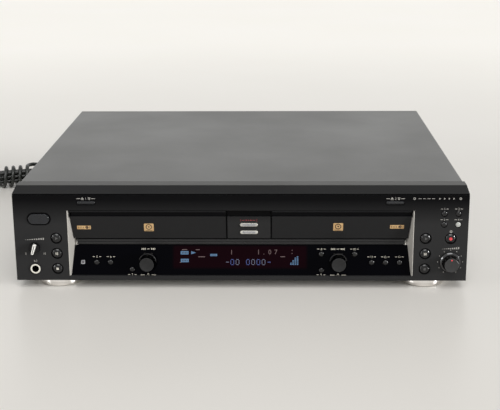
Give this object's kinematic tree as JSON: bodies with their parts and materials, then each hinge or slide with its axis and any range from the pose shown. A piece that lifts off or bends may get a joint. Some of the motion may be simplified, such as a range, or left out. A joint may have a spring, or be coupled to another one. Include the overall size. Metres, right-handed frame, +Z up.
{
  "type": "dual cd recorder",
  "caption": "Disc recorder for a hi-fi rack, with sliding disc trays, sprung buttons, turning jog and level knobs, lifting disc drives and a tied mains lead.",
  "frame": {"origin": "on the table under the middle of the recorder, counted from the front of the record level knob to the ends of the rear sockets", "axes": "+X to the right as one faces the front, +Y from front to rear, +Z up"},
  "size_m": [0.6553, 0.4718, 0.0984],
  "materials": {
    "cover_black": "satin black painted steel",
    "zinc_steel": "zinc-plated steel sheet",
    "panel_black": "satin black moulding",
    "trim_silver": "satin silver",
    "window_dark": "dark smoked acrylic",
    "foot_silver": "turned aluminium",
    "tray_black": "fine-grained black moulding",
    "mechanism_plastic": "black engineering plastic",
    "mechanism_steel": "bright steel",
    "knob_grey": "turned and anodised dark grey",
    "knob_black": "satin black",
    "jack_metal": "plated ring nut",
    "board_green": "lacquered circuit board",
    "transformer_iron": "varnished laminations",
    "socket_plastic": "black moulding with plated sleeves",
    "cord_grey": "glossy dark grey PVC",
    "screw_steel": "black-zinc steel",
    "button_cream": "plated cream silver",
    "button_black": "gloss black moulding"
  },
  "bodies": {
    "root": {"base_chassis": "zinc_steel", "top_cover": "cover_black", "rear_panel": "cover_black", "front_panel": "panel_black", "recess_trims": "trim_silver", "display_window": "window_dark", "deck_frame_left": "mechanism_plastic", "deck_frame_right": "mechanism_plastic", "clampers": "mechanism_plastic", "phones_jack": "jack_metal", "feet": "foot_silver", "circuit_boards": "board_green", "power_transformer": "transformer_iron", "rear_sockets": "socket_plastic", "mains_lead": "cord_grey", "mains_hank": "cord_grey", "mains_plug": "cord_grey", "cord_bush": "cord_grey", "screws": "screw_steel"},
    "drawer_left": {"tray_left": "tray_black", "tray_door_left": "panel_black"},
    "lift_left": {"pickup_chassis_left": "mechanism_steel"},
    "disc_seat_left": {"turntable_left": "mechanism_plastic"},
    "sled_left": {"pickup_left": "mechanism_plastic"},
    "drawer_right": {"tray_right": "tray_black", "tray_door_right": "panel_black"},
    "lift_right": {"pickup_chassis_right": "mechanism_steel"},
    "disc_seat_right": {"turntable_right": "mechanism_plastic"},
    "sled_right": {"pickup_right": "mechanism_plastic"},
    "play_button_left": {"play_button_left": "button_black"},
    "play_button_right": {"play_button_right": "button_black"},
    "pause_button_left": {"pause_button_left": "button_black"},
    "pause_button_right": {"pause_button_right": "button_black"},
    "stop_button_left": {"stop_button_left": "button_black"},
    "stop_button_right": {"stop_button_right": "button_black"},
    "record_button": {"record_button": "button_black"},
    "finalize_button": {"finalize_button": "button_black"},
    "erase_button": {"erase_button": "button_black"},
    "input_button": {"input_button": "button_black"},
    "synchro_button": {"synchro_button": "button_black"},
    "time_button_left": {"time_button_left": "button_black"},
    "play_mode_button_left": {"play_mode_button_left": "button_black"},
    "album_button": {"album_button": "button_black"},
    "menu_button": {"menu_button": "button_black"},
    "yes_button": {"yes_button": "button_black"},
    "clear_button": {"clear_button": "button_black"},
    "display_button": {"display_button": "button_black"},
    "time_button_right": {"time_button_right": "button_black"},
    "play_mode_button_right": {"play_mode_button_right": "button_black"},
    "power_button": {"power_button": "button_black"},
    "eject_button_left": {"eject_button_left": "button_black"},
    "eject_button_right": {"eject_button_right": "button_black"},
    "sync_button_upper": {"sync_button_upper": "button_cream"},
    "sync_button_lower": {"sync_button_lower": "button_cream"},
    "jog_plunger_left": {"jog_plunger_left": "mechanism_steel"},
    "jog_knob_left": {"jog_knob_left": "knob_grey"},
    "jog_plunger_right": {"jog_plunger_right": "mechanism_steel"},
    "jog_knob_right": {"jog_knob_right": "knob_grey"},
    "phone_level_knob": {"phone_level_knob": "knob_black"},
    "record_level_knob": {"record_level_knob": "knob_black"}
  },
  "joints": [
    {"name": "tray_left_slide", "type": "slide", "parent": "root", "child": "drawer_left", "axis": [0, -1, 0], "range_m": [0, 0.145]},
    {"name": "chassis_left_lift", "type": "hinge", "parent": "root", "child": "lift_left", "pos_m": [-0.0872, -0.00695, 0.05], "axis": [-1, 0, 0], "range_deg": [0, 5]},
    {"name": "turntable_left_spin", "type": "hinge", "parent": "lift_left", "child": "disc_seat_left", "pos_m": [-0.0872, -0.11255, 0.04076], "axis": [0, -0.0872, 0.9962], "continuous": true},
    {"name": "pickup_left_travel", "type": "slide", "parent": "lift_left", "child": "sled_left", "axis": [0, 0.9962, 0.0872], "range_m": [0, 0.035]},
    {"name": "tray_right_slide", "type": "slide", "parent": "root", "child": "drawer_right", "axis": [0, -1, 0], "range_m": [0, 0.145]},
    {"name": "chassis_right_lift", "type": "hinge", "parent": "root", "child": "lift_right", "pos_m": [0.0936, -0.00695, 0.05], "axis": [-1, 0, 0], "range_deg": [0, 5]},
    {"name": "turntable_right_spin", "type": "hinge", "parent": "lift_right", "child": "disc_seat_right", "pos_m": [0.0936, -0.11255, 0.04076], "axis": [0, -0.0872, 0.9962], "continuous": true},
    {"name": "pickup_right_travel", "type": "slide", "parent": "lift_right", "child": "sled_right", "axis": [0, 0.9962, 0.0872], "range_m": [0, 0.035]},
    {"name": "play_button_left_press", "type": "slide", "parent": "root", "child": "play_button_left", "axis": [0, 1, 0], "range_m": [0, 0.0008], "stiffness_N_per_m": 400},
    {"name": "play_button_right_press", "type": "slide", "parent": "root", "child": "play_button_right", "axis": [0, 1, 0], "range_m": [0, 0.0008], "stiffness_N_per_m": 400},
    {"name": "pause_button_left_press", "type": "slide", "parent": "root", "child": "pause_button_left", "axis": [0, 1, 0], "range_m": [0, 0.0008], "stiffness_N_per_m": 400},
    {"name": "pause_button_right_press", "type": "slide", "parent": "root", "child": "pause_button_right", "axis": [0, 1, 0], "range_m": [0, 0.0008], "stiffness_N_per_m": 400},
    {"name": "stop_button_left_press", "type": "slide", "parent": "root", "child": "stop_button_left", "axis": [0, 1, 0], "range_m": [0, 0.0008], "stiffness_N_per_m": 400},
    {"name": "stop_button_right_press", "type": "slide", "parent": "root", "child": "stop_button_right", "axis": [0, 1, 0], "range_m": [0, 0.0008], "stiffness_N_per_m": 400},
    {"name": "record_button_press", "type": "slide", "parent": "root", "child": "record_button", "axis": [0, 1, 0], "range_m": [0, 0.0008], "stiffness_N_per_m": 400},
    {"name": "finalize_button_press", "type": "slide", "parent": "root", "child": "finalize_button", "axis": [0, 1, 0], "range_m": [0, 0.0008], "stiffness_N_per_m": 400},
    {"name": "erase_button_press", "type": "slide", "parent": "root", "child": "erase_button", "axis": [0, 1, 0], "range_m": [0, 0.0008], "stiffness_N_per_m": 400},
    {"name": "input_button_press", "type": "slide", "parent": "root", "child": "input_button", "axis": [0, 1, 0], "range_m": [0, 0.0008], "stiffness_N_per_m": 400},
    {"name": "synchro_button_press", "type": "slide", "parent": "root", "child": "synchro_button", "axis": [0, 1, 0], "range_m": [0, 0.0008], "stiffness_N_per_m": 400},
    {"name": "time_button_left_press", "type": "slide", "parent": "root", "child": "time_button_left", "axis": [0, 1, 0], "range_m": [0, 0.0008], "stiffness_N_per_m": 400},
    {"name": "play_mode_button_left_press", "type": "slide", "parent": "root", "child": "play_mode_button_left", "axis": [0, 1, 0], "range_m": [0, 0.0008], "stiffness_N_per_m": 400},
    {"name": "album_button_press", "type": "slide", "parent": "root", "child": "album_button", "axis": [0, 1, 0], "range_m": [0, 0.0008], "stiffness_N_per_m": 400},
    {"name": "menu_button_press", "type": "slide", "parent": "root", "child": "menu_button", "axis": [0, 1, 0], "range_m": [0, 0.0008], "stiffness_N_per_m": 400},
    {"name": "yes_button_press", "type": "slide", "parent": "root", "child": "yes_button", "axis": [0, 1, 0], "range_m": [0, 0.0008], "stiffness_N_per_m": 400},
    {"name": "clear_button_press", "type": "slide", "parent": "root", "child": "clear_button", "axis": [0, 1, 0], "range_m": [0, 0.0008], "stiffness_N_per_m": 400},
    {"name": "display_button_press", "type": "slide", "parent": "root", "child": "display_button", "axis": [0, 1, 0], "range_m": [0, 0.0008], "stiffness_N_per_m": 400},
    {"name": "time_button_right_press", "type": "slide", "parent": "root", "child": "time_button_right", "axis": [0, 1, 0], "range_m": [0, 0.0008], "stiffness_N_per_m": 400},
    {"name": "play_mode_button_right_press", "type": "slide", "parent": "root", "child": "play_mode_button_right", "axis": [0, 1, 0], "range_m": [0, 0.0008], "stiffness_N_per_m": 400},
    {"name": "power_button_press", "type": "slide", "parent": "root", "child": "power_button", "axis": [0, 1, 0], "range_m": [0, 0.0008], "stiffness_N_per_m": 400},
    {"name": "eject_button_left_press", "type": "slide", "parent": "root", "child": "eject_button_left", "axis": [0, 1, 0], "range_m": [0, 0.0008], "stiffness_N_per_m": 400},
    {"name": "eject_button_right_press", "type": "slide", "parent": "root", "child": "eject_button_right", "axis": [0, 1, 0], "range_m": [0, 0.0008], "stiffness_N_per_m": 400},
    {"name": "sync_button_upper_press", "type": "slide", "parent": "root", "child": "sync_button_upper", "axis": [0, 1, 0], "range_m": [0, 0.0008], "stiffness_N_per_m": 400},
    {"name": "sync_button_lower_press", "type": "slide", "parent": "root", "child": "sync_button_lower", "axis": [0, 1, 0], "range_m": [0, 0.0008], "stiffness_N_per_m": 400},
    {"name": "jog_left_press", "type": "slide", "parent": "root", "child": "jog_plunger_left", "axis": [0, 1, 0], "range_m": [0, 0.0007], "stiffness_N_per_m": 400},
    {"name": "jog_left_turn", "type": "hinge", "parent": "jog_plunger_left", "child": "jog_knob_left", "pos_m": [-0.0888, -0.19295, 0.0272], "axis": [0, 1, 0], "continuous": true},
    {"name": "jog_right_press", "type": "slide", "parent": "root", "child": "jog_plunger_right", "axis": [0, 1, 0], "range_m": [0, 0.0007], "stiffness_N_per_m": 400},
    {"name": "jog_right_turn", "type": "hinge", "parent": "jog_plunger_right", "child": "jog_knob_right", "pos_m": [0.0933, -0.19295, 0.0272], "axis": [0, 1, 0], "continuous": true},
    {"name": "phone_level_turn", "type": "hinge", "parent": "root", "child": "phone_level_knob", "pos_m": [-0.1961, -0.19295, 0.042], "axis": [0, 1, 0], "range_deg": [0, 300]},
    {"name": "record_level_turn", "type": "hinge", "parent": "root", "child": "record_level_knob", "pos_m": [0.1992, -0.19295, 0.0279], "axis": [0, 1, 0], "range_deg": [-150, 150]}
  ]
}
